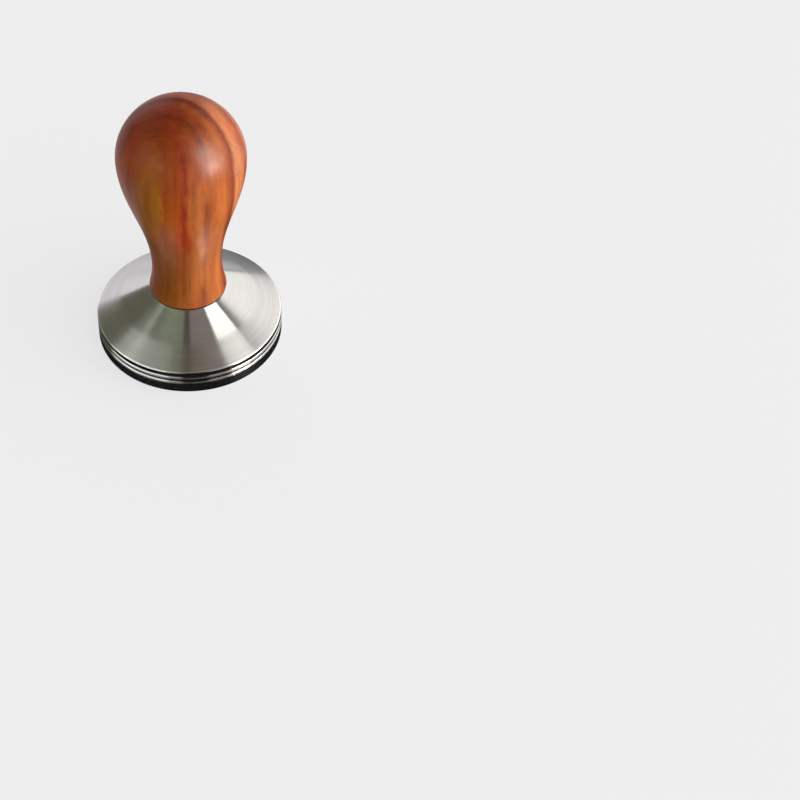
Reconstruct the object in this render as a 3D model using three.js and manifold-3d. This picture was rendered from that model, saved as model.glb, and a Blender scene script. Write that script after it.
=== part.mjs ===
// A 58 mm espresso tamper: a turned stainless base, and a turned hardwood handle that
// screws onto it. Millimetres, +Z up. The origin is the centre of the flat tamping face.
import * as THREE from 'three';
import { mergeVertices } from 'three/addons/utils/BufferGeometryUtils.js';
import Module from 'manifold-3d';

const wasm = await Module();
wasm.setup();

// ---- Driving dimensions -------------------------------------------------------------

// Base: a short cylinder with two turned grooves, under a straight cone with a flat seat.
const BASE_RADIUS = 29;
const RIM_HEIGHT = 8.3;
const SEAT_RADIUS = 12;
const SEAT_HEIGHT = 18.6;
const EDGE_BREAK = 0.3;
const SEAT_EDGE_BREAK = 0.2;
const GROOVE_WIDTH = 1.05;
const GROOVE_DEPTH = 0.5;
const GROOVE_PITCH = 1.9;
const LOWEST_GROOVE = 4.2;
const GROOVES = 2;

// M8 x 1.25 screw joint between the base and the handle.
const PITCH = 1.25;
const STUD_RADIUS = 4;
const THREAD_DEPTH = 0.7;
const CREST_WIDTH = PITCH / 8;
const ROOT_WIDTH = PITCH / 4;
const THREAD_PLAY = 0.15;
const FLANK_PLAY = 0.05;
const ENGAGED_TURNS = 9;
const STUD_LENGTH = 25;
const STUD_CHAMFER = 0.8;
const SOCKET_ACROSS_FLATS = 4;
const SOCKET_DEPTH = 5;
const HOLE_BOTTOM_PLAY = 0.5;
const DRILL_TIP_ANGLE = 118;
const COUNTERSINK = 0.5;

// Washer, held in a shallow recess in the foot of the handle.
const WASHER_THICKNESS = 1;
const WASHER_RADIUS = 9;
const WASHER_BORE = 4.3;

// Handle: a round bulb that runs down in one curve to a neck, which flares into a small foot.
const TOP_HEIGHT = 89.3;
const BULB_RADIUS = 19.45;
const BULB_HEIGHT = 70.4;
const BULB_TAPER = 13.6;
const NECK_RADIUS = 10.8;
const NECK_HEIGHT = 28.3;
const NECK_RISE = 16.9;
const NECK_DROP = 5;
const FOOT_RADIUS = 12;
const FOOT_HEIGHT = 19.5;
const FOOT_FLARE = 0.4;
const FOOT_EDGE_RADIUS = 11.4;
const FOOT_GAP = 0.3;
const RECESS_PLAY = 0.3;

// Brass insert, screwed into the wood by its own coarse thread, slotted for a driver.
const INSERT_LENGTH = 14;
const INSERT_RADIUS = 6.2;
const INSERT_PITCH = 3;
const INSERT_THREAD_DEPTH = 0.9;
const INSERT_CREST = 0.5;
const INSERT_ROOT = 1.5;
const INSERT_CHAMFER = 0.6;
const INSERT_SET_BACK = 0.3;
const INSERT_PLAY = 0.12;
const SLOT_WIDTH = 1.4;
const SLOT_DEPTH = 1.2;

// Facets round each turned piece.
const BASE_SEGMENTS = 72;
const HANDLE_SEGMENTS = 48;
const WASHER_SEGMENTS = 32;
const THREAD_SEGMENTS = 16;
const GROOVE_STEPS = 4;
const CURVE_STEPS = 6;

// How far a cutter runs past the face that it cuts.
const OVERCUT = 1;

// ---- Heights that follow ------------------------------------------------------------

const footBottom = SEAT_HEIGHT + FOOT_GAP;
const recessTop = SEAT_HEIGHT + WASHER_THICKNESS;
const studBottom = SEAT_HEIGHT - ENGAGED_TURNS * PITCH;
const studTop = studBottom + STUD_LENGTH;
const insertBottom = recessTop + INSERT_SET_BACK;
const insertTop = insertBottom + INSERT_LENGTH;

// ---- Solids -------------------------------------------------------------------------

// A closed geometry as a manifold solid.
function solidOf(geometry) {
  const plain = geometry.clone();
  plain.deleteAttribute('normal');
  plain.deleteAttribute('uv');
  const merged = mergeVertices(plain);
  return new wasm.Manifold(new wasm.Mesh({
    numProp: 3,
    vertProperties: new Float32Array(merged.attributes.position.array),
    triVerts: new Uint32Array(merged.index.array),
  }));
}

function geometryOf(solid) {
  const mesh = solid.getMesh();
  const geometry = new THREE.BufferGeometry();
  geometry.setAttribute('position', new THREE.BufferAttribute(mesh.vertProperties, 3));
  geometry.setIndex(new THREE.BufferAttribute(mesh.triVerts, 1));
  geometry.computeVertexNormals();
  return geometry;
}

// A profile of (radius, height) points, turned about Z.
function turned(points, segments) {
  return new THREE.LatheGeometry(points, segments).rotateX(Math.PI / 2);
}

// A cylinder between two heights, with a chamfer at each end.
function turnedBar(radius, bottom, top, bottomChamfer, topChamfer, segments) {
  const outline = new THREE.Path();
  outline.moveTo(0, bottom);
  outline.lineTo(radius - bottomChamfer, bottom);
  if (bottomChamfer > 0) outline.lineTo(radius, bottom + bottomChamfer);
  outline.lineTo(radius, top - topChamfer);
  if (topChamfer > 0) outline.lineTo(radius - topChamfer, top);
  outline.lineTo(0, top);
  return solidOf(turned(outline.getPoints(), segments));
}

// A right-hand threaded rod about Z that covers bottom to top, with ragged ends beyond them.
// Each column of points, one at each station round the axis, is the thread's axial profile
// raised by its share of the pitch, so the last column meets the first one a turn higher up.
function threadedRod({ radius, depth, pitch, crest, root }, bottom, top) {
  const profile = [
    [-root / 2, radius - depth],
    [root / 2, radius - depth],
    [(pitch - crest) / 2, radius],
    [(pitch + crest) / 2, radius],
  ];
  const perTurn = profile.length;
  // Whole turns from the origin, so that rods of one pitch always mate.
  const firstTurn = Math.floor(bottom / pitch) - 2;
  const turns = Math.ceil(top / pitch) + 1 - firstTurn;
  const rows = (turns + 1) * perTurn + 1;
  const positions = [];
  for (let station = 0; station < THREAD_SEGMENTS; station++) {
    const angle = (2 * Math.PI * station) / THREAD_SEGMENTS;
    for (let row = 0; row < rows; row++) {
      const [along, r] = profile[row % perTurn];
      const turn = firstTurn + Math.floor(row / perTurn) + station / THREAD_SEGMENTS;
      positions.push(r * Math.cos(angle), r * Math.sin(angle), turn * pitch + along);
    }
  }
  const point = (station, row) => (station < THREAD_SEGMENTS
    ? station * rows + row
    : row + perTurn);
  const lastRow = rows - 1 - perTurn;
  const indices = [];
  for (let station = 0; station < THREAD_SEGMENTS; station++) {
    for (let row = 0; row < lastRow; row++) {
      const a = point(station, row);
      const b = point(station + 1, row);
      const c = point(station + 1, row + 1);
      const d = point(station, row + 1);
      indices.push(a, b, c, a, c, d);
    }
  }
  // Each end is a fan from a point on the axis: once round, then along the step of a pitch.
  const addEnd = (row, upward) => {
    const centre = positions.length / 3;
    const height = firstTurn * pitch + (row / perTurn) * pitch + pitch / 2;
    positions.push(0, 0, height);
    const loop = [];
    for (let station = 0; station < THREAD_SEGMENTS; station++) loop.push(point(station, row));
    for (let step = perTurn; step > 0; step--) loop.push(point(0, row + step));
    loop.forEach((from, i) => {
      const to = loop[(i + 1) % loop.length];
      indices.push(...(upward ? [centre, from, to] : [centre, to, from]));
    });
  };
  addEnd(0, false);
  addEnd(lastRow, true);
  const geometry = new THREE.BufferGeometry();
  geometry.setAttribute('position', new THREE.Float32BufferAttribute(positions, 3));
  geometry.setIndex(indices);
  return solidOf(geometry);
}

// The same thread with play all round, for the hole that it runs in.
function withPlay(thread, radialPlay, flankPlay) {
  return {
    ...thread,
    radius: thread.radius + radialPlay,
    crest: thread.crest + 2 * flankPlay,
    root: thread.root - 2 * flankPlay,
  };
}

const studThread = {
  radius: STUD_RADIUS,
  depth: THREAD_DEPTH,
  pitch: PITCH,
  crest: CREST_WIDTH,
  root: ROOT_WIDTH,
};
const holeThread = withPlay(studThread, THREAD_PLAY, FLANK_PLAY);
const insertThread = {
  radius: INSERT_RADIUS,
  depth: INSERT_THREAD_DEPTH,
  pitch: INSERT_PITCH,
  crest: INSERT_CREST,
  root: INSERT_ROOT,
};
const woodThread = withPlay(insertThread, INSERT_PLAY, FLANK_PLAY);

// A threaded rod cut square, or chamfered, at two heights.
function cutRod(thread, bottom, top, bottomChamfer = 0, topChamfer = 0) {
  const reach = thread.radius + OVERCUT;
  const trim = turnedBar(reach, bottom, top, bottomChamfer, topChamfer, THREAD_SEGMENTS);
  return threadedRod(thread, bottom, top).intersect(trim);
}

// ---- Base ---------------------------------------------------------------------------

function baseOutline() {
  const outline = new THREE.Path();
  outline.moveTo(0, 0);
  outline.lineTo(BASE_RADIUS - EDGE_BREAK, 0);
  outline.lineTo(BASE_RADIUS, EDGE_BREAK);
  for (let i = 0; i < GROOVES; i++) {
    const middle = LOWEST_GROOVE + i * GROOVE_PITCH;
    for (let step = 0; step <= GROOVE_STEPS; step++) {
      const across = (2 * step) / GROOVE_STEPS - 1;
      const depth = GROOVE_DEPTH * Math.sqrt(1 - across * across);
      outline.lineTo(BASE_RADIUS - depth, middle + (across * GROOVE_WIDTH) / 2);
    }
  }
  outline.lineTo(BASE_RADIUS, RIM_HEIGHT - EDGE_BREAK);
  outline.lineTo(BASE_RADIUS - EDGE_BREAK, RIM_HEIGHT);
  outline.lineTo(SEAT_RADIUS, SEAT_HEIGHT - SEAT_EDGE_BREAK);
  outline.lineTo(SEAT_RADIUS - SEAT_EDGE_BREAK, SEAT_HEIGHT);
  outline.lineTo(0, SEAT_HEIGHT);
  return outline.getPoints();
}

// A blind hole from the seat: thread, countersunk mouth, and the drill's pointed end.
function baseHole() {
  const bottom = studBottom - HOLE_BOTTOM_PLAY;
  const drillRadius = holeThread.radius - holeThread.depth;
  const tipDepth = drillRadius / Math.tan(THREE.MathUtils.degToRad(DRILL_TIP_ANGLE / 2));
  const mouth = holeThread.radius + COUNTERSINK;
  const outline = new THREE.Path();
  outline.moveTo(0, bottom - tipDepth);
  outline.lineTo(drillRadius, bottom);
  outline.lineTo(drillRadius, SEAT_HEIGHT - mouth + drillRadius);
  outline.lineTo(mouth + OVERCUT, SEAT_HEIGHT + OVERCUT);
  outline.lineTo(0, SEAT_HEIGHT + OVERCUT);
  const drilled = solidOf(turned(outline.getPoints(), THREAD_SEGMENTS));
  return drilled.add(cutRod(holeThread, bottom, SEAT_HEIGHT + OVERCUT));
}

function makeBase() {
  return solidOf(turned(baseOutline(), BASE_SEGMENTS)).subtract(baseHole());
}

// ---- Washer -------------------------------------------------------------------------

function makeWasher() {
  const top = SEAT_HEIGHT + WASHER_THICKNESS;
  const disc = turnedBar(WASHER_RADIUS, SEAT_HEIGHT, top, 0, 0, WASHER_SEGMENTS);
  const bore = turnedBar(
    WASHER_BORE, SEAT_HEIGHT - OVERCUT, top + OVERCUT, 0, 0, WASHER_SEGMENTS);
  return disc.subtract(bore);
}

// ---- Stud ---------------------------------------------------------------------------

function hexSocket() {
  const corner = SOCKET_ACROSS_FLATS / 2 / Math.cos(Math.PI / 6);
  const length = SOCKET_DEPTH + OVERCUT;
  const key = new THREE.CylinderGeometry(corner, corner, length, 6).rotateX(Math.PI / 2);
  key.translate(0, 0, studBottom + SOCKET_DEPTH - length / 2);
  return solidOf(key);
}

function makeStud() {
  const chamfer = STUD_CHAMFER + OVERCUT;
  return cutRod(studThread, studBottom, studTop, chamfer, chamfer).subtract(hexSocket());
}

// ---- Insert -------------------------------------------------------------------------

function makeInsert() {
  const chamfer = INSERT_CHAMFER + OVERCUT;
  const body = cutRod(insertThread, insertBottom, insertTop, chamfer, chamfer);
  const bore = cutRod(holeThread, insertBottom - OVERCUT, insertTop + OVERCUT);
  const slotLength = 2 * (INSERT_RADIUS + OVERCUT);
  const slotCutter = new THREE.BoxGeometry(slotLength, SLOT_WIDTH, 2 * SLOT_DEPTH);
  slotCutter.translate(0, 0, insertBottom);
  return body.subtract(bore).subtract(solidOf(slotCutter));
}

// ---- Handle -------------------------------------------------------------------------

function handleOutline() {
  const outline = new THREE.Path();
  outline.moveTo(0, footBottom);
  outline.lineTo(FOOT_EDGE_RADIUS, footBottom);
  outline.quadraticCurveTo(FOOT_RADIUS, footBottom, FOOT_RADIUS, FOOT_HEIGHT);
  outline.bezierCurveTo(
    FOOT_RADIUS, FOOT_HEIGHT + FOOT_FLARE,
    NECK_RADIUS, NECK_HEIGHT - NECK_DROP,
    NECK_RADIUS, NECK_HEIGHT);
  outline.bezierCurveTo(
    NECK_RADIUS, NECK_HEIGHT + NECK_RISE,
    BULB_RADIUS, BULB_HEIGHT - BULB_TAPER,
    BULB_RADIUS, BULB_HEIGHT);
  outline.absellipse(
    0, BULB_HEIGHT, BULB_RADIUS, TOP_HEIGHT - BULB_HEIGHT, 0, Math.PI / 2, false, 0);
  return outline.getPoints(CURVE_STEPS);
}

// The recess for the washer, the threaded bore that holds the insert, and its blind end.
function handleBore() {
  const recess = turnedBar(
    WASHER_RADIUS + RECESS_PLAY, footBottom - OVERCUT, recessTop, 0, 0, WASHER_SEGMENTS);
  const blindEnd = insertTop + INSERT_SET_BACK;
  return recess.add(cutRod(woodThread, recessTop - OVERCUT / 2, blindEnd));
}

function makeHandle() {
  return solidOf(turned(handleOutline(), HANDLE_SEGMENTS)).subtract(handleBore());
}

// ---- Scene --------------------------------------------------------------------------

const steel = { color: 0xc9c8c6, roughness: 0.26, metalness: 1 };
const wood = { color: 0x8c4420, roughness: 0.36, metalness: 0 };
const brass = { color: 0xb08d4c, roughness: 0.35, metalness: 1 };
const zinc = { color: 0x9fa3a6, roughness: 0.38, metalness: 1 };
const fibre = { color: 0x5a1f17, roughness: 0.8, metalness: 0 };

function named(name, solid, finish) {
  const mesh = new THREE.Mesh(geometryOf(solid), new THREE.MeshStandardMaterial(finish));
  mesh.name = name;
  return mesh;
}

const tamper = new THREE.Group();
tamper.add(named('tamper_base', makeBase(), steel));

// Everything that comes away when the handle is unscrewed.
const handleAssembly = new THREE.Group();
handleAssembly.add(named('handle', makeHandle(), wood));
handleAssembly.add(named('threaded_insert', makeInsert(), brass));
handleAssembly.add(named('stud', makeStud(), zinc));
handleAssembly.add(named('washer', makeWasher(), fibre));
tamper.add(handleAssembly);

export default tamper;
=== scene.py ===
"""Looks for the espresso tamper: a satin stainless base and a polished red-brown hardwood handle.

Everything is in metres in the part's own frame: the axis is Z and the tamping face is at z = 0.
"""

import math

import bpy
from mathutils import Matrix, Vector


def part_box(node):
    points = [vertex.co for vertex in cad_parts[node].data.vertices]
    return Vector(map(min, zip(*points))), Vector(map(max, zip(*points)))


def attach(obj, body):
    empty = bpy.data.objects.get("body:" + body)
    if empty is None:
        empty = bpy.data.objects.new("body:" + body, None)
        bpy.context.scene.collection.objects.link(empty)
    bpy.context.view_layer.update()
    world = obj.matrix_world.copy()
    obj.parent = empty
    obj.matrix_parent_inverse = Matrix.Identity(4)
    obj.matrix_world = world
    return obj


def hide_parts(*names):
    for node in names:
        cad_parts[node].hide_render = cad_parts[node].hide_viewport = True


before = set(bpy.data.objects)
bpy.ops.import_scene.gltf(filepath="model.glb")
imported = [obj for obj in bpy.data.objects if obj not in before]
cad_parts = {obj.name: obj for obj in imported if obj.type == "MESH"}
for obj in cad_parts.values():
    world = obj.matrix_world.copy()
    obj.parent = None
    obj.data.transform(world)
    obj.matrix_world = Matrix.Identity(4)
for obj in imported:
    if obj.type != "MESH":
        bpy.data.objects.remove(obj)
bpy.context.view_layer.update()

MM = 0.001
TURN = 2 * math.pi

# ---- Sizes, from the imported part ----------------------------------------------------

_, BASE_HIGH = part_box("tamper_base")
HANDLE_LOW, HANDLE_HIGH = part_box("handle")
STUD_LOW, STUD_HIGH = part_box("stud")
_, INSERT_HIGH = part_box("threaded_insert")
WASHER_LOW, WASHER_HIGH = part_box("washer")

BASE_RADIUS = BASE_HIGH.x
SEAT_HEIGHT = BASE_HIGH.z
TOP_HEIGHT = HANDLE_HIGH.z
BULB_RADIUS = HANDLE_HIGH.x
FOOT_BOTTOM = HANDLE_LOW.z

# Shapes that a box can't give. They repeat the part's own driving dimensions.
RIM_HEIGHT = 8.3 * MM
SEAT_RADIUS = 12 * MM
EDGE_ROUND = 0.3 * MM
SEAT_EDGE_ROUND = 0.2 * MM
GROOVE_WIDTH = 1.05 * MM
GROOVE_DEPTH = 0.5 * MM
GROOVE_PITCH = 1.9 * MM
LOWEST_GROOVE = 4.2 * MM
GROOVES = 2
GROOVE_LIP = 0.12 * MM
GROOVE_HALF_ARC = 66

BULB_HEIGHT = 70.4 * MM
BULB_TAPER = 13.6 * MM
NECK_RADIUS = 10.8 * MM
NECK_HEIGHT = 28.3 * MM
NECK_RISE = 16.9 * MM
NECK_DROP = 5 * MM
FOOT_RADIUS = 12 * MM
FOOT_HEIGHT = 19.5 * MM
FOOT_FLARE = 0.4 * MM
FOOT_EDGE_RADIUS = 11.4 * MM

STUD_RADIUS = 4 * MM
STUD_PITCH = 1.25 * MM
THREAD_DEPTH = 0.7 * MM
STUD_CHAMFER = 0.8 * MM
SOCKET_ACROSS_FLATS = 4 * MM
SOCKET_DEPTH = 5 * MM
HOLE_RADIUS = 4.15 * MM
HOLE_BOTTOM_PLAY = 0.5 * MM
FLANK_PLAY = 0.1 * MM
COUNTERSINK = 0.5 * MM
FIRST_THREAD_ROW = 0.06 * MM
DRILL_HALF_ANGLE = 59
WOOD_BORE_RADIUS = 6.32 * MM
BORE_END_RADIUS = 3 * MM
BORE_END_PLAY = 0.3 * MM
INSERT_PITCH = 3 * MM
WOOD_THREAD_DEPTH = 0.9 * MM
WOOD_THREAD_CREST = 0.6 * MM
WOOD_THREAD_ROOT = 1.4 * MM
RECESS_PLAY = 0.3 * MM
RECESS_STEP_RADIUS = 7.5 * MM
RECESS_BEVEL = 0.1 * MM
RECESS_CHAMFER = 0.2 * MM
WASHER_BORE = 4.3 * MM
WASHER_EDGE_ROUND = 0.12 * MM

# How fine the meshes are: points round the turned shapes, outside and in the bores, rows in
# one turn of a thread, and the angle in degrees from which an edge is shaded sharp.
OUTER_POINTS = 192
INNER_POINTS = 96
THREAD_ROWS = 14
WOOD_THREAD_ROWS = 18
SHARP_ANGLE = 30


# ---- Outlines -----------------------------------------------------------------------

def arc(centre, radius, start, end, steps):
    """Points (r, z) along an arc, angles in degrees from +r towards +z."""
    points = []
    for i in range(steps + 1):
        angle = math.radians(start + (end - start) * i / steps)
        points.append((centre[0] + radius * math.cos(angle), centre[1] + radius * math.sin(angle)))
    return points


def bezier(a, b, c, d, steps):
    """Points (r, z) along a cubic curve, its first point left out."""
    points = []
    for i in range(1, steps + 1):
        t = i / steps
        u = 1 - t
        weights = (u * u * u, 3 * u * u * t, 3 * u * t * t, t * t * t)
        points.append(tuple(sum(w * p[k] for w, p in zip(weights, (a, b, c, d))) for k in (0, 1)))
    return points


def line(start, end, steps):
    """Points (r, z) along a straight line, its first point left out."""
    return [tuple(start[k] + (end[k] - start[k]) * i / steps for k in (0, 1))
            for i in range(1, steps + 1)]


def turned(name, rings):
    """A turned mesh from rings of (points, radius, height) in order along the outline.

    A radius can be a function of (angle, height). A radius of 0 is a point on the axis. If the
    first ring is also given last, the outline closes on itself, as a washer's does.
    """
    verts = []
    starts = []
    for count, radius, height in rings:
        starts.append(len(verts))
        if radius == 0:
            verts.append((0, 0, height))
            continue
        for i in range(count):
            angle = TURN * i / count
            r = radius(angle, height) if callable(radius) else radius
            verts.append((r * math.cos(angle), r * math.sin(angle), height))
    faces = []
    for k in range(len(rings) - 1):
        low, high = starts[k], starts[k + 1]
        count_low = 1 if rings[k][1] == 0 else rings[k][0]
        count_high = 1 if rings[k + 1][1] == 0 else rings[k + 1][0]
        steps = max(count_low, count_high)
        for i in range(steps):
            j = (i + 1) % steps
            a = low + i * count_low // steps
            b = low + (i + 1) * count_low // steps % count_low
            c = high + j * count_high // steps
            d = high + i * count_high // steps
            if count_high < count_low:
                c = high + (i + 1) * count_high // steps % count_high
            faces.append(tuple(dict.fromkeys((a, b, c, d))))
    if rings[0] == rings[-1]:
        first = starts[-1]
        faces = [tuple(v if v < first else v - first for v in face) for face in faces]
        verts = verts[:first]
    return mesh_object(name, verts, faces)


def rings_of(outline, count):
    """Rings for turned() from an outline of points (r, z)."""
    return [(count, r, z) for r, z in outline]


def mesh_object(name, verts, faces):
    mesh = bpy.data.meshes.new(name)
    mesh.from_pydata(verts, [], faces)
    mesh.validate()
    mesh.update()
    mesh.shade_smooth()
    mesh.set_sharp_from_angle(angle=math.radians(SHARP_ANGLE))
    obj = bpy.data.objects.new(name, mesh)
    bpy.context.scene.collection.objects.link(obj)
    return obj


# ---- Pieces -------------------------------------------------------------------------

def groove(middle):
    """One round-bottomed groove in the side wall, with softly broken lips."""
    half = GROOVE_WIDTH / 2
    lip = GROOVE_LIP
    steps = 12
    points = arc((BASE_RADIUS - lip, middle - half - lip), lip, 0, 90, 5)
    for i in range(steps + 1):
        angle = math.radians(2 * GROOVE_HALF_ARC * i / steps - GROOVE_HALF_ARC)
        points.append((BASE_RADIUS - GROOVE_DEPTH * math.cos(angle), middle + half * math.sin(angle)))
    points += arc((BASE_RADIUS - lip, middle + half + lip), lip, -90, 0, 5)
    return points


def thread(radius, depth, pitch, crest, root):
    """A function that gives the radius of a right-hand thread about Z at an angle and a height."""
    def at(angle, height):
        along = abs((height / pitch - angle / TURN + 0.5) % 1 - 0.5) * pitch
        rise = (along - root / 2) / ((pitch - crest - root) / 2)
        return radius - depth + depth * min(1, max(0, rise))
    return at


stud_thread = thread(STUD_RADIUS, THREAD_DEPTH, STUD_PITCH, STUD_PITCH / 8, STUD_PITCH / 4)
hole_thread = thread(HOLE_RADIUS, THREAD_DEPTH, STUD_PITCH, STUD_PITCH / 8 + FLANK_PLAY,
                     STUD_PITCH / 4 - FLANK_PLAY)
wood_thread = thread(WOOD_BORE_RADIUS, WOOD_THREAD_DEPTH, INSERT_PITCH, WOOD_THREAD_CREST,
                     WOOD_THREAD_ROOT)


def rows(low, high, step):
    """Heights from low to high, both included."""
    count = max(1, round(abs(high - low) / step))
    return [low + (high - low) * i / count for i in range(count + 1)]


def base_rings():
    """The base: tamping face, grooved side wall, cone, seat, and the hole down from the seat."""
    edge = EDGE_ROUND
    cone_slope = math.degrees(math.atan2(SEAT_HEIGHT - RIM_HEIGHT, BASE_RADIUS - SEAT_RADIUS))
    points = [(0, 0)] + line((0, 0), (BASE_RADIUS - edge, 0), 6)
    points += arc((BASE_RADIUS - edge, edge), edge, -90, 0, 6)[1:]
    for i in range(GROOVES):
        points += groove(LOWEST_GROOVE + i * GROOVE_PITCH)
    rim = arc((BASE_RADIUS - edge, RIM_HEIGHT - edge), edge, 0, 90 - cone_slope, 7)
    points += rim
    seat_edge = arc((SEAT_RADIUS - SEAT_EDGE_ROUND, SEAT_HEIGHT - SEAT_EDGE_ROUND),
                    SEAT_EDGE_ROUND, 90 - cone_slope, 90, 4)
    points += line(rim[-1], seat_edge[0], 24)[:-1]
    points += seat_edge
    # Rings a little inside the seat's two edges keep the flat seat's shading flat.
    points.append((SEAT_RADIUS - 1.5 * MM, SEAT_HEIGHT))
    rings = rings_of(points, OUTER_POINTS)
    # The blind hole: countersunk mouth, thread, and the drill's pointed end.
    mouth = HOLE_RADIUS + COUNTERSINK
    bottom = STUD_LOW.z - HOLE_BOTTOM_PLAY
    drill = HOLE_RADIUS - THREAD_DEPTH
    point = bottom - drill / math.tan(math.radians(DRILL_HALF_ANGLE))

    def countersunk(angle, height):
        return max(hole_thread(angle, height), mouth - (SEAT_HEIGHT - height))

    rings += rings_of([(mouth + 1 * MM, SEAT_HEIGHT), (mouth, SEAT_HEIGHT)], INNER_POINTS)
    rings += [(INNER_POINTS, countersunk, z)
              for z in rows(SEAT_HEIGHT - FIRST_THREAD_ROW, bottom, STUD_PITCH / THREAD_ROWS)]
    rings += rings_of([(drill, bottom), (0, point)], INNER_POINTS)
    return rings


def make_base():
    return turned("tamper_base_steel", base_rings())


def handle_rings():
    """The handle: the bore for the insert from its blind end down, the recess, and the outside."""
    bore_end = INSERT_HIGH.z + BORE_END_PLAY
    recess_top = WASHER_HIGH.z
    recess = WASHER_HIGH.x + RECESS_PLAY
    rings = rings_of([(0, bore_end), (BORE_END_RADIUS, bore_end)], INNER_POINTS)
    rings += [(INNER_POINTS, wood_thread, z)
              for z in rows(bore_end, recess_top, INSERT_PITCH / WOOD_THREAD_ROWS)]
    # The recess for the washer, with a small bevel at its top and a chamfer at its mouth.
    rings += rings_of([(RECESS_STEP_RADIUS, recess_top), (recess - RECESS_BEVEL, recess_top),
                       (recess, recess_top - RECESS_BEVEL), (recess, FOOT_BOTTOM + RECESS_CHAMFER),
                       (recess + RECESS_CHAMFER, FOOT_BOTTOM)], INNER_POINTS)
    # The outside: underside of the foot, foot, neck, bulb and crown.
    points = [(FOOT_EDGE_RADIUS - 1 * MM, FOOT_BOTTOM), (FOOT_EDGE_RADIUS, FOOT_BOTTOM)]
    low_corner = [FOOT_EDGE_RADIUS + (FOOT_RADIUS - FOOT_EDGE_RADIUS) * 2 / 3, FOOT_BOTTOM]
    high_corner = [FOOT_RADIUS, FOOT_BOTTOM + (FOOT_HEIGHT - FOOT_BOTTOM) / 3]
    points += bezier(points[-1], low_corner, high_corner, (FOOT_RADIUS, FOOT_HEIGHT), 8)
    points += bezier(points[-1], (FOOT_RADIUS, FOOT_HEIGHT + FOOT_FLARE),
                     (NECK_RADIUS, NECK_HEIGHT - NECK_DROP), (NECK_RADIUS, NECK_HEIGHT), 20)
    points += bezier(points[-1], (NECK_RADIUS, NECK_HEIGHT + NECK_RISE),
                     (BULB_RADIUS, BULB_HEIGHT - BULB_TAPER), (BULB_RADIUS, BULB_HEIGHT), 40)
    crown = TOP_HEIGHT - BULB_HEIGHT
    steps = 32
    for i in range(1, steps):
        angle = math.pi / 2 * i / steps
        points.append((BULB_RADIUS * math.cos(angle), BULB_HEIGHT + crown * math.sin(angle)))
    points.append((0, TOP_HEIGHT))
    return rings + rings_of(points, OUTER_POINTS)


def make_handle():
    return turned("handle_wood", handle_rings())


def make_stud():
    """An M8 set screw: a hex socket in its lower end, rolled thread, both ends chamfered."""
    low, high = STUD_LOW.z, STUD_HIGH.z
    flat = SOCKET_ACROSS_FLATS / 2
    corner = flat / math.cos(math.pi / 6)
    tip = STUD_RADIUS - STUD_CHAMFER

    def hexagon(angle, z):
        return flat / math.cos((angle + math.pi / 6) % (math.pi / 3) - math.pi / 6)

    def body(angle, z):
        return min(stud_thread(angle, z), tip + min(z - low, high - z))

    # The socket from its drilled point and floor down, then the thread from the lower end up.
    floor = low + SOCKET_DEPTH
    rings = [(INNER_POINTS, 0, floor + 0.5 * MM), (INNER_POINTS, 1.2 * MM, floor)]
    rings += [(INNER_POINTS, hexagon, z) for z in rows(floor, low + 0.25 * MM, 1 * MM)]
    rings += rings_of([(corner + 0.2 * MM, low), (tip - 0.1 * MM, low)], INNER_POINTS)
    rings += [(INNER_POINTS, body, z) for z in rows(low, high, STUD_PITCH / THREAD_ROWS)]
    rings += rings_of([(tip - 0.3 * MM, high), (0, high)], INNER_POINTS)
    return turned("stud_zinc", rings)


def make_washer():
    """A flat ring with rounded edges."""
    low, high = WASHER_LOW.z, WASHER_HIGH.z
    edge = WASHER_EDGE_ROUND
    outer, bore = WASHER_HIGH.x, WASHER_BORE
    points = arc((outer - edge, low + edge), edge, -90, 0, 4)
    points += arc((outer - edge, high - edge), edge, 0, 90, 4)
    points += arc((bore + edge, high - edge), edge, 90, 180, 4)
    points += arc((bore + edge, low + edge), edge, 180, 270, 4)
    points.append(points[0])
    return turned("washer_fibre", rings_of(points, INNER_POINTS))


# ---- Node helpers -------------------------------------------------------------------

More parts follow.
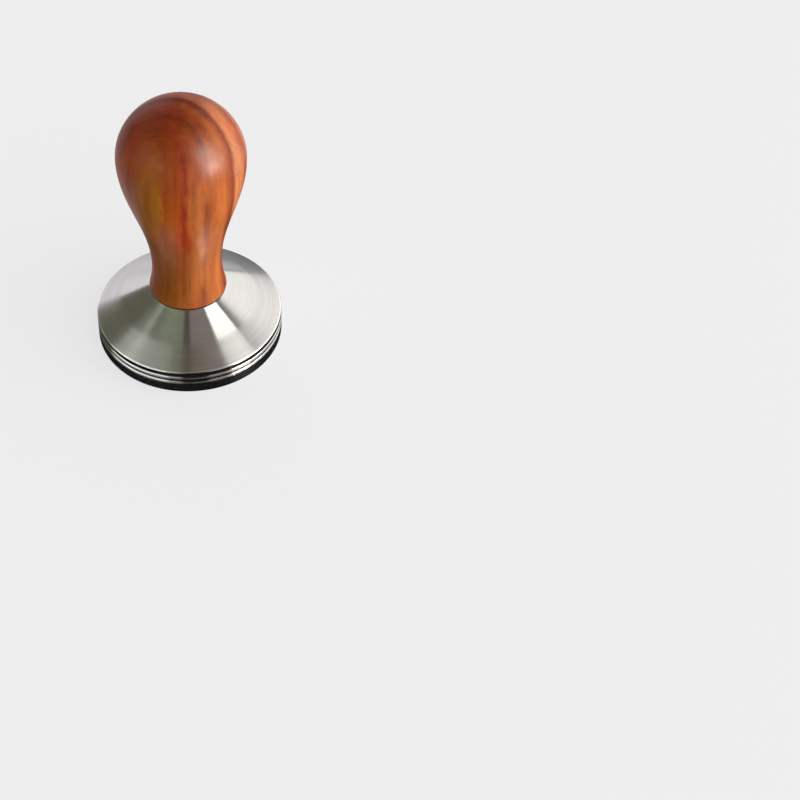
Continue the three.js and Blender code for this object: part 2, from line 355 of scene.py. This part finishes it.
class Nodes:
    """Short calls for building a node tree."""

    def __init__(self, tree):
        self.tree = tree

    def add(self, kind, inputs=None, output=0, **settings):
        """Make a node and return one of its outputs. Inputs are given by name or number."""
        node = self.tree.nodes.new(kind)
        for key, value in settings.items():
            setattr(node, key, value)
        for key, value in (inputs or {}).items():
            self.put(node.inputs[key], value)
        return node.outputs[output]

    def put(self, socket, value):
        """Link a socket to an output, or set its own value."""
        if isinstance(value, bpy.types.NodeSocket):
            self.tree.links.new(value, socket)
        else:
            socket.default_value = value

    def math(self, operation, *values, clamp=False):
        return self.add("ShaderNodeMath", dict(enumerate(values)), operation=operation, use_clamp=clamp)

    def total(self, value, *others):
        for other in others:
            value = self.math("ADD", value, other)
        return value

    def product(self, value, *others):
        for other in others:
            value = self.math("MULTIPLY", value, other)
        return value

    def vector(self, operation, *values, output=0):
        return self.add("ShaderNodeVectorMath", dict(enumerate(values)), output, operation=operation)

    def scale(self, vector, factor):
        return self.add("ShaderNodeVectorMath", {0: vector, "Scale": factor}, operation="SCALE")

    def fade(self, value, low, high, to_low=0.0, to_high=1.0):
        """value mapped smoothly from low..high to to_low..to_high, and held beyond them."""
        return self.add("ShaderNodeMapRange",
                        {"Value": value, "From Min": low, "From Max": high,
                         "To Min": to_low, "To Max": to_high},
                        interpolation_type="SMOOTHSTEP")

    def ramp(self, share, stops):
        """A colour from stops of (position, colour), at share of the way."""
        node = self.tree.nodes.new("ShaderNodeValToRGB")
        while len(node.color_ramp.elements) < len(stops):
            node.color_ramp.elements.new(0.5)
        for element, (position, colour) in zip(node.color_ramp.elements, stops):
            element.position = position
            element.color = colour
        self.put(node.inputs[0], share)
        return node.outputs[0]

    def mix(self, share, a, b):
        """Colour a where share is 0, colour b where it is 1."""
        return self.add("ShaderNodeMix", {0: share, 6: a, 7: b}, 2, data_type="RGBA")

    def noise(self, vector, scale, detail=2.0, roughness=0.5):
        return self.add("ShaderNodeTexNoise",
                        {"Vector": vector, "Scale": scale, "Detail": detail, "Roughness": roughness})

    def noise_1d(self, w, scale, detail=2.0, roughness=0.5):
        return self.add("ShaderNodeTexNoise",
                        {"W": w, "Scale": scale, "Detail": detail, "Roughness": roughness},
                        noise_dimensions="1D")

    def spread(self, noise, amount):
        """Noise about zero: how far it lies from its middle value, times amount."""
        return self.math("MULTIPLY", self.math("SUBTRACT", noise, 0.5), amount)

    def scaled(self, vector, x, y, z):
        return self.vector("MULTIPLY", vector, (x, y, z))


def new_material(name):
    """A material with an empty Principled shader: the material, its nodes and the shader."""
    material = bpy.data.materials.new(name)
    material.use_nodes = True
    tree = material.node_tree
    tree.nodes.clear()
    shader = tree.nodes.new("ShaderNodeBsdfPrincipled")
    output = tree.nodes.new("ShaderNodeOutputMaterial")
    tree.links.new(shader.outputs[0], output.inputs["Surface"])
    return material, Nodes(tree), shader


def rgb(red, green, blue):
    """A display colour from 0 to 255 as a linear colour."""
    def linear(value):
        v = value / 255
        return v / 12.92 if v <= 0.04045 else ((v + 0.055) / 1.055) ** 2.4
    return (linear(red), linear(green), linear(blue), 1.0)


# ---- Materials ----------------------------------------------------------------------

# Linear colours of the turned surface between its darkest and lightest rings, and of its worn edge,
# which is also painted bright as a highlight line.
STEEL_DARK = (0.585, 0.578, 0.565, 1)
STEEL_LIGHT = (0.635, 0.63, 0.618, 1)
STEEL_WORN_AND_HIGHLIGHT = (0.88, 0.88, 0.87, 1)
# The roughness where it is polished, what the satin part adds, and how far both wander. It stays
# below about 0.27, because the denoiser draws a line where it passes that.
POLISHED_ROUGHNESS = 0.15
SATIN_ROUGHNESS = 0.105
ROUGHNESS_WANDER = 0.03
# How far below and inside the rim the wear and the painted highlight line start and are complete.
WEAR_AND_HIGHLIGHT_START = 0.6 * MM
WEAR_AND_HIGHLIGHT_FULL = 0.35 * MM


def steel_material():
    """Turned stainless: fine rings about the axis, polished near the seat and satin near the rim."""
    material, n, shader = new_material("satin_steel")
    place = n.add("ShaderNodeTexCoord", output=3)
    radius = n.vector("LENGTH", n.scaled(place, 1, 1, 0), output=1)
    height = n.add("ShaderNodeSeparateXYZ", {0: place}, 2)
    along = n.math("ADD", radius, n.math("MULTIPLY", height, 1.4))

    rings = n.noise_1d(along, 5200, 3, 0.7)
    broad_rings = n.noise_1d(along, 700, 2, 0.6)
    smudge = n.noise(place, 55, 3, 0.55)
    tone = n.math("ADD", n.math("MULTIPLY", rings, 0.5), n.math("MULTIPLY", smudge, 0.5))
    colour = n.mix(n.fade(tone, 0.35, 0.65), STEEL_DARK, STEEL_LIGHT)

    # Polished near the seat, satin from a step near the rim on, and not satin on the side wall.
    step = n.fade(radius, 20.4 * MM, 22.4 * MM, to_high=0.8)
    drift = n.fade(radius, 17 * MM, 28 * MM, to_high=0.2)
    on_cone = n.fade(height, RIM_HEIGHT - 0.4 * MM, RIM_HEIGHT - 0.1 * MM)
    satin = n.math("MULTIPLY", n.math("ADD", step, drift), on_cone)
    rough = n.total(POLISHED_ROUGHNESS, n.math("MULTIPLY", satin, SATIN_ROUGHNESS),
                    n.spread(broad_rings, ROUGHNESS_WANDER), n.spread(smudge, ROUGHNESS_WANDER))

    # The rim's edge is worn, and painted bright as a highlight line.
    worn_and_highlight = n.math("MULTIPLY", n.fade(radius, BASE_RADIUS - WEAR_AND_HIGHLIGHT_START, BASE_RADIUS - WEAR_AND_HIGHLIGHT_FULL),
                  n.fade(height, RIM_HEIGHT - WEAR_AND_HIGHLIGHT_START, RIM_HEIGHT - WEAR_AND_HIGHLIGHT_FULL))
    bump = n.add("ShaderNodeBump", {"Strength": 0.06, "Distance": 0.02 * MM, "Height": rings})
    n.put(shader.inputs["Base Color"], n.mix(worn_and_highlight, colour, STEEL_WORN_AND_HIGHLIGHT))
    n.put(shader.inputs["Roughness"], rough)
    n.put(shader.inputs["Normal"], bump)
    n.put(shader.inputs["Tangent"], n.add("ShaderNodeTangent", direction_type="RADIAL", axis="Z"))
    shader.inputs["Metallic"].default_value = 1.0
    shader.inputs["Anisotropic"].default_value = 0.9
    shader.inputs["Anisotropic Rotation"].default_value = 0.25
    return material


# All lengths in the wood are in millimetres. The growth layers lie round a pith at the left of the
# bulb's front: where it crosses the height below, and how far it leans for each millimetre up.
PITH = (-8.9, -17.2, 0)
PITH_HEIGHT = 70.0
PITH_LEAN = (0.03, -0.07, 0)
# How far each tint lies from the pith, with its display colour.
LAYERS = ((0, (160, 98, 32)), (6.0, (162, 94, 32)), (8.0, (160, 66, 18)), (9.0, (128, 40, 10)),
          (10.4, (162, 76, 26)), (14.0, (164, 78, 28)), (15.3, (112, 42, 16)), (17.8, (160, 74, 26)),
          (21.2, (166, 82, 32)), (23.0, (136, 56, 25)), (24.0, (118, 44, 19)), (25.6, (186, 104, 60)),
          (28.5, (176, 92, 50)), (31.0, (128, 54, 26)), (32.0, (162, 80, 40)), (36.0, (148, 68, 34)),
          (38.0, (116, 44, 24)))
# The same tints without the thin dark lines, which come and go along the wood.
TINTS = ((0, (160, 98, 32)), (7.0, (160, 86, 28)), (11.0, (162, 80, 28)), (18.0, (162, 76, 28)),
         (23.0, (160, 76, 30)), (25.0, (186, 104, 60)), (29.0, (168, 86, 46)), (38.0, (150, 70, 36)))
LAYER_REACH = 40.0
# What the tints are multiplied by: at the left, at the right, and where the wood is red.
OLIVE_HUE = (0.91, 0.95, 0.78, 1)
ORANGE_HUE = (1.03, 1.34, 1.68, 1)
RED_HUE = (0.86, 0.53, 0.36, 1)
PORE_COLOUR = rgb(58, 20, 10)


def wood_layers(n, place, depth, across, height):
    """Tints by distance from the pith. The thin dark lines among them come and go."""
    ripple = n.spread(n.noise(n.scaled(place, 1, 1, 0.12), 0.5), 1.2)
    share = n.math("DIVIDE", n.math("ADD", depth, ripple), LAYER_REACH)
    lined = n.ramp(share, [(d / LAYER_REACH, rgb(*tint)) for d, tint in LAYERS])
    plain = n.ramp(share, [(d / LAYER_REACH, rgb(*tint)) for d, tint in TINTS])
    here_and_there = n.fade(n.noise(n.scaled(place, 1, 1, 0.5), 0.11), 0.42, 0.6)
    low_front = n.product(n.fade(height, 73.0, 64.0), n.fade(across, -9.0, -5.0),
                          n.fade(height, 42.0, 54.0))
    come_and_go = n.math("MAXIMUM", n.math("MULTIPLY", here_and_there, 0.6),
                         n.math("MULTIPLY", low_front, 0.8))
    # The outer ones are there everywhere.
    come_and_go = n.math("MAXIMUM", come_and_go, n.fade(depth, 19.0, 21.0))
    return n.mix(come_and_go, plain, lined)


def wood_hue(n, place, across, height):
    """Olive brown at the left and orange brown at the right of a red band, and red high up."""
    sway = n.spread(n.noise(n.scaled(place, 1, 1, 0.4), 0.12, 3, 0.6), 9.0)
    at = n.math("ADD", across, sway)
    band = n.product(n.fade(at, -9.0, -6.0), n.fade(at, 3.0, 0.0),
                     n.fade(height, 37.0, 52.0, to_low=0.1))
    red_top = n.math("MULTIPLY", n.fade(height, 66.0, 82.0, to_high=0.75),
                     n.fade(across, 12.0, 4.0, to_low=0.3))
    red = n.math("MAXIMUM", band, red_top)
    clouds = n.fade(n.noise(n.scaled(place, 1, 1, 0.5), 0.09), 0.35, 0.65, to_low=-0.2, to_high=0.2)
    plain_hue = n.mix(n.fade(at, -6.0, 2.0), OLIVE_HUE, ORANGE_HUE)
    return n.mix(n.math("ADD", red, clouds, clamp=True), plain_hue, RED_HUE)


def wood_material():
    """Polished red-brown hardwood, cut from one block: its layers and pores run up the handle."""
    material, n, shader = new_material("polished_hardwood")
    place = n.scale(n.add("ShaderNodeTexCoord", output=3), 1 / MM)
    split = n.add("ShaderNodeSeparateXYZ", {0: place}).node
    across, height = split.outputs[0], split.outputs[2]

    # The place as seen from the pith, with a slow wander, and the distance from the pith.
    wander = n.add("ShaderNodeTexNoise",
                   {"Vector": n.scaled(place, 1, 1, 0.3), "Scale": 0.05, "Detail": 2}, 1)
    wander = n.scaled(n.vector("SUBTRACT", wander, (0.5, 0.5, 0.5)), 4.5, 4.5, 0)
    lean = n.scale(PITH_LEAN, n.math("SUBTRACT", height, PITH_HEIGHT))
    from_pith = n.vector("SUBTRACT", n.vector("SUBTRACT", place, PITH), lean)
    from_pith = n.vector("ADD", from_pith, wander)
    depth = n.vector("LENGTH", n.scaled(from_pith, 1, 1, 0), output=1)

    # Tone: fine layers, fibres and streaks that run up the wood, and slow clouds. The top is
    # darker, except at the lit right: partly the end grain's own colour, partly painted shade.
    fine_layers = n.noise_1d(depth, 0.9, 2, 0.6)
    fibre = n.noise(n.scaled(from_pith, 1, 1, 0.04), 3.2, 4, 0.65)
    streak = n.noise(n.scaled(from_pith, 1, 1, 0.035), 0.45, 3, 0.55)
    cloud = n.noise(n.scaled(place, 1, 1, 0.45), 0.075)
    shade = n.total(n.spread(fine_layers, 0.35), n.spread(fibre, 0.4), n.spread(streak, 0.9),
                    n.spread(cloud, 0.7))
    # Painted shade, with the end grain's own darker colour: the top is darkened, but not at the lit
    # right.
    end_grain_and_painted_shade = n.math("MAXIMUM", n.fade(height, 74.0, 90.0, to_low=1.0, to_high=0.68),
                       n.fade(across, 3.0, 12.0, to_low=0.6))
    gain = n.math("MULTIPLY", n.math("ADD", 1.0, shade), end_grain_and_painted_shade)
    tint = n.vector("MULTIPLY", wood_layers(n, place, depth, across, height),
                    wood_hue(n, place, across, height))

    # Pores: short dark flecks along the grain.
    pore_cells = n.add("ShaderNodeTexVoronoi", {"Vector": n.scaled(from_pith, 1, 1, 0.09), "Scale": 1.7})
    pores = n.math("MULTIPLY", n.fade(pore_cells, 0.24, 0.10),
                   n.fade(n.noise(n.scaled(place, 1, 1, 0.4), 0.3), 0.42, 0.56))
    colour = n.mix(n.math("MULTIPLY", pores, 0.42), n.scale(tint, gain), PORE_COLOUR)

    rough = n.total(0.42, n.spread(fibre, 0.15), n.math("MULTIPLY", pores, 0.15))
    relief = n.math("SUBTRACT", n.math("MULTIPLY", fibre, 0.3), pores)
    bump = n.add("ShaderNodeBump", {"Strength": 0.10, "Distance": 0.04 * MM, "Height": relief})
    n.put(shader.inputs["Base Color"], colour)
    n.put(shader.inputs["Roughness"], rough)
    n.put(shader.inputs["Normal"], bump)
    shader.inputs["Specular IOR Level"].default_value = 0.05
    shader.inputs["Coat Weight"].default_value = 0.27
    shader.inputs["Coat Roughness"].default_value = 0.34
    shader.inputs["Coat IOR"].default_value = 1.5
    return material


def mottled_material(name, dark, light, roughness, metallic=1.0):
    """A plain material, slightly mottled in colour, roughness and relief."""
    material, n, shader = new_material(name)
    place = n.add("ShaderNodeTexCoord", output=3)
    mottle = n.noise(place, 900, 3, 0.6)
    bump = n.add("ShaderNodeBump", {"Strength": 0.1, "Distance": 0.02 * MM, "Height": mottle})
    n.put(shader.inputs["Base Color"], n.mix(n.fade(mottle, 0.35, 0.65), dark, light))
    n.put(shader.inputs["Roughness"], n.fade(mottle, 0.3, 0.7, roughness - 0.06, roughness + 0.08))
    n.put(shader.inputs["Normal"], bump)
    shader.inputs["Metallic"].default_value = metallic
    return material


# ---- Studio -------------------------------------------------------------------------

def direction(azimuth, elevation):
    """A unit vector: azimuth from +X towards +Y, elevation above the horizon, in degrees."""
    a, e = math.radians(azimuth), math.radians(elevation)
    return Vector((math.cos(a) * math.cos(e), math.sin(a) * math.cos(e), math.sin(e)))


# The point that all the lamps face, and how far from it they are.
LAMP_AIM = Vector((0, 0, 30 * MM))
LAMP_DISTANCE = 1.6


def softbox(name, azimuth, elevation, width, height, radiance, colour=(1, 1, 1), roll=0,
            diffuse=True):
    """A rectangular lamp that faces the tamper, as bright to look at as radiance says."""
    data = bpy.data.lights.new(name, "AREA")
    data.shape = "RECTANGLE"
    data.size = width
    data.size_y = height
    data.energy = math.pi * radiance * width * height
    data.color = colour
    lamp = bpy.data.objects.new(name, data)
    bpy.context.scene.collection.objects.link(lamp)
    towards = direction(azimuth, elevation)
    turn = towards.to_track_quat("Z", "Y").to_matrix().to_4x4()
    turn = turn @ Matrix.Rotation(math.radians(roll), 4, "Z")
    lamp.matrix_world = Matrix.Translation(LAMP_AIM + towards * LAMP_DISTANCE) @ turn
    lamp.visible_camera = False
    lamp.visible_diffuse = diffuse
    return lamp


# What the gloss of the steel and the wood mirrors: a plain room, and patches in it. A patch is its
# azimuth, elevation, half width, half height and width of the soft border, all in degrees, and
# its linear colour. Later ones lie over earlier ones.
ROOM = (0.15, 0.152, 0.11, 1)
PATCHES = (
    (82, -6, 17, 20, 3, (0.42, 0.43, 0.43)),
    (112, -12, 16, 47, 2.5, (1.02, 0.99, 1.03)),
    (32, 12, 34, 33, 3, (1.36, 1.33, 1.31)),
    (-148, 66, 42, 8, 6, (0.27, 0.30, 0.21)),
    (-62, 68, 34, 9, 6, (0.29, 0.26, 0.24)),
    (172, 52, 9, 5, 4, (0.34, 0.37, 0.27)),
    (-148, 22, 30, 20, 4, (2.30, 2.33, 2.28)),
    (177, 19, 6, 17, 4, (1.90, 1.93, 1.88)),
    (-111, 19, 7, 17, 2, (0.85, 0.87, 0.85)),
    (-51, 19, 21, 17, 3, (0.75, 0.73, 0.72)),
    (-12, 19, 18, 17, 3, (1.90, 1.86, 1.86)),
    (-104, 73, 11, 6, 4, (0.09, 0.08, 0.08)),
    (-88, 14, 13, 34, 3, (0.02, 0.02, 0.02)),
)


def patch(n, look, azimuth, elevation, half_width, half_height, border):
    """1 inside a patch of the sky and 0 outside it."""
    ahead = n.add("ShaderNodeVectorRotate",
                  {"Vector": look, "Axis": (0, 0, 1), "Angle": math.radians(-azimuth)})
    split = n.add("ShaderNodeSeparateXYZ", {0: ahead}).node
    across = n.math("ABSOLUTE", n.math("ARCTAN2", split.outputs[1], split.outputs[0]))
    rise = n.math("SUBTRACT", n.math("ARCSINE", split.outputs[2]), math.radians(elevation))
    up = n.math("ABSOLUTE", rise)
    soft = math.radians(border) / 2
    w, h = math.radians(half_width), math.radians(half_height)
    return n.math("MULTIPLY", n.fade(across, w + soft, w - soft), n.fade(up, h + soft, h - soft))


# Soft light, in linear colours: from world and floor on the dim side, from each on the bright side,
# and from the world behind. The last one is the background as the camera sees it.
DIM_LIGHT = (0.20, 0.19, 0.175, 1)
BRIGHT_SKY = (2.3, 2.2, 2.1, 1)
BRIGHT_FLOOR = (1.6, 1.55, 1.5, 1)
BACK_SKY = (1.2, 1.17, 1.12, 1)
BACKGROUND = (0.865, 0.865, 0.885, 1)


def make_world():
    """The studio round the tamper, different for the camera, for gloss and for soft light."""
    world = bpy.data.worlds.new("studio")
    bpy.context.scene.world = world
    world.use_nodes = True
    world.node_tree.nodes.clear()
    n = Nodes(world.node_tree)
    look = n.add("ShaderNodeTexCoord", output=0)
    mirrored = ROOM
    for *place, colour in PATCHES:
        mirrored = n.mix(patch(n, look, *place), mirrored, (*colour, 1))
    # Soft light for everything that isn't gloss: bright at the right, some behind, dim at the left.
    side = n.vector("DOT_PRODUCT", look, tuple(direction(-24, 4)), output=1)
    soft = n.mix(n.fade(side, 0.0, 1.0), DIM_LIGHT, BRIGHT_SKY)
    behind = n.vector("DOT_PRODUCT", look, tuple(direction(105, 8)), output=1)
    soft = n.mix(n.fade(behind, 0.1, 1.0), soft, BACK_SKY)
    path = n.add("ShaderNodeLightPath").node
    colour = n.mix(path.outputs["Is Diffuse Ray"], mirrored, soft)
    colour = n.mix(path.outputs["Is Camera Ray"], colour, BACKGROUND)
    output = n.tree.nodes.new("ShaderNodeOutputWorld")
    n.put(output.inputs[0], n.add("ShaderNodeBackground", {"Color": colour}))
    world.cycles.sampling_method = "NONE"


# The floor is pale to look at. The gloss sees it dark, as it saw the black mat in the photograph,
# up to the mat's two far edges: how far each lies from the axis, and which way, in degrees.
MAT_EDGES = ((40.6 * MM, 136.2), (109.8 * MM, 46.2))
MAT_MIRRORED = (0.012, 0.012, 0.013, 1)
BEYOND_MIRRORED = (0.80, 0.79, 0.82, 1)
# To the camera it is part lit and part glowing, so that it ends up even and pale.
FLOOR_LIT = (0.22, 0.22, 0.225, 1)
FLOOR_GLOW_COLOUR = (0.86, 0.86, 0.88, 1)
FLOOR_GLOW = 0.76
# Half the floor's side in metres, and how far below the tamper it lies.
FLOOR_HALF = 5.0
FLOOR_DROP = 0.01 * MM


def make_floor():
    """The floor, different for the camera, for gloss and for soft light."""
    half = FLOOR_HALF
    corners = [(-half, -half, 0), (half, -half, 0), (half, half, 0), (-half, half, 0)]
    floor = mesh_object("floor", corners, [(0, 1, 2, 3)])
    material = bpy.data.materials.new("floor")
    material.use_nodes = True
    material.node_tree.nodes.clear()
    n = Nodes(material.node_tree)
    place = n.add("ShaderNodeTexCoord", output=3)
    beyond = 0.0
    for reach, azimuth in MAT_EDGES:
        along = n.vector("DOT_PRODUCT", place, tuple(direction(azimuth, 0)), output=1)
        beyond = n.math("MAXIMUM", beyond, n.fade(along, reach - 2 * MM, reach + 2 * MM))
    mirrored = n.mix(beyond, MAT_MIRRORED, BEYOND_MIRRORED)
    # What it throws back up: most on the bright side.
    side = n.vector("DOT_PRODUCT", place, tuple(direction(-35, 0)), output=1)
    bounce = n.mix(n.fade(side, 0.0, 80 * MM), DIM_LIGHT, BRIGHT_FLOOR)
    path = n.add("ShaderNodeLightPath").node
    unseen = n.mix(path.outputs["Is Glossy Ray"], bounce, mirrored)
    unseen = n.add("ShaderNodeEmission", {"Color": unseen})
    lit = n.add("ShaderNodeBsdfDiffuse", {"Color": FLOOR_LIT})
    glow = n.add("ShaderNodeEmission", {"Color": FLOOR_GLOW_COLOUR, "Strength": FLOOR_GLOW})
    seen = n.add("ShaderNodeAddShader", {0: lit, 1: glow})
    surface = n.add("ShaderNodeMixShader", {0: path.outputs["Is Camera Ray"], 1: unseen, 2: seen})
    output = n.tree.nodes.new("ShaderNodeOutputMaterial")
    n.put(output.inputs[0], surface)
    material.cycles.emission_sampling = "NONE"
    floor.data.materials.append(material)
    floor.location.z = -FLOOR_DROP
    return floor


# The camera that was fitted to the photograph. Its place is in millimetres, and its angles, from
# level and looking along +Y, are in degrees: to the right, down, and rolled.
CAMERA_PLACE = (0, -485.81, 485.26)
CAMERA_ANGLES = (8.034, 46.984, -2.626)
CAMERA_LENS = 96.2
SENSOR_WIDTH = 36


def make_camera():
    """The photograph's view: from the front, 45 degrees up, with the tamper at the left."""
    data = bpy.data.cameras.new("camera")
    data.sensor_width = SENSOR_WIDTH
    data.lens = CAMERA_LENS
    data.clip_start = 0.01
    camera = bpy.data.objects.new("camera", data)
    bpy.context.scene.collection.objects.link(camera)
    yaw, pitch, roll = (math.radians(angle) for angle in CAMERA_ANGLES)
    ahead = math.cos(pitch)
    forward = Vector((math.sin(yaw) * ahead, math.cos(yaw) * ahead, -math.sin(pitch)))
    level_right = Vector((math.cos(yaw), -math.sin(yaw), 0))
    level_down = forward.cross(level_right)
    right = level_right * math.cos(roll) + level_down * math.sin(roll)
    down = level_down * math.cos(roll) - level_right * math.sin(roll)
    turn = Matrix((right, -down, -forward)).transposed().to_4x4()
    camera.matrix_world = Matrix.Translation([v * MM for v in CAMERA_PLACE]) @ turn
    bpy.context.scene.camera = camera


def make_lights():
    """The lamps. Returns the window, which lights only the wood."""
    softbox("strip", -9, 58.5, width=0.62, height=0.26, radiance=2.5, roll=-38, diffuse=False)
    softbox("low_window", -36, 10, width=0.6, height=0.4, radiance=20.0, colour=(1, 0.91, 0.82),
            diffuse=False)
    window = softbox("window", -36, 25, width=0.78, height=1.40, radiance=21.0,
                     colour=(1, 0.90, 0.80), diffuse=False)
    softbox("key", -24, 10, width=0.9, height=0.7, radiance=3.4, colour=(1, 0.95, 0.9))
    return window


# ---- Assembly -----------------------------------------------------------------------

make_camera()
make_world()
make_floor()
window = make_lights()

steel = steel_material()
wood = wood_material()
brass = mottled_material("brass", (0.50, 0.34, 0.12, 1), (0.66, 0.47, 0.20, 1), 0.32)
zinc = mottled_material("zinc_plate", (0.44, 0.46, 0.48, 1), (0.58, 0.60, 0.62, 1), 0.34)
fibre = mottled_material("red_fibre", rgb(70, 22, 16), rgb(104, 38, 28), 0.75, metallic=0.0)

base = make_base()
base.data.materials.append(steel)
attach(base, "base")
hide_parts("tamper_base")

handle = make_handle()
handle.data.materials.append(wood)
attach(handle, "handle")
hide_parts("handle")

# The window is there for the highlight on the wood, so the steel doesn't see it.
window_lit = bpy.data.collections.new("window_lit")
window_lit.objects.link(handle)
window.light_linking.receiver_collection = window_lit

stud = make_stud()
stud.data.materials.append(zinc)
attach(stud, "handle")
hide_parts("stud")

washer = make_washer()
washer.data.materials.append(fibre)
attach(washer, "washer")
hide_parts("washer")

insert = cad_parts["threaded_insert"]
insert.data.materials.clear()
insert.data.materials.append(brass)

bpy.context.scene.view_settings.view_transform = "Standard"
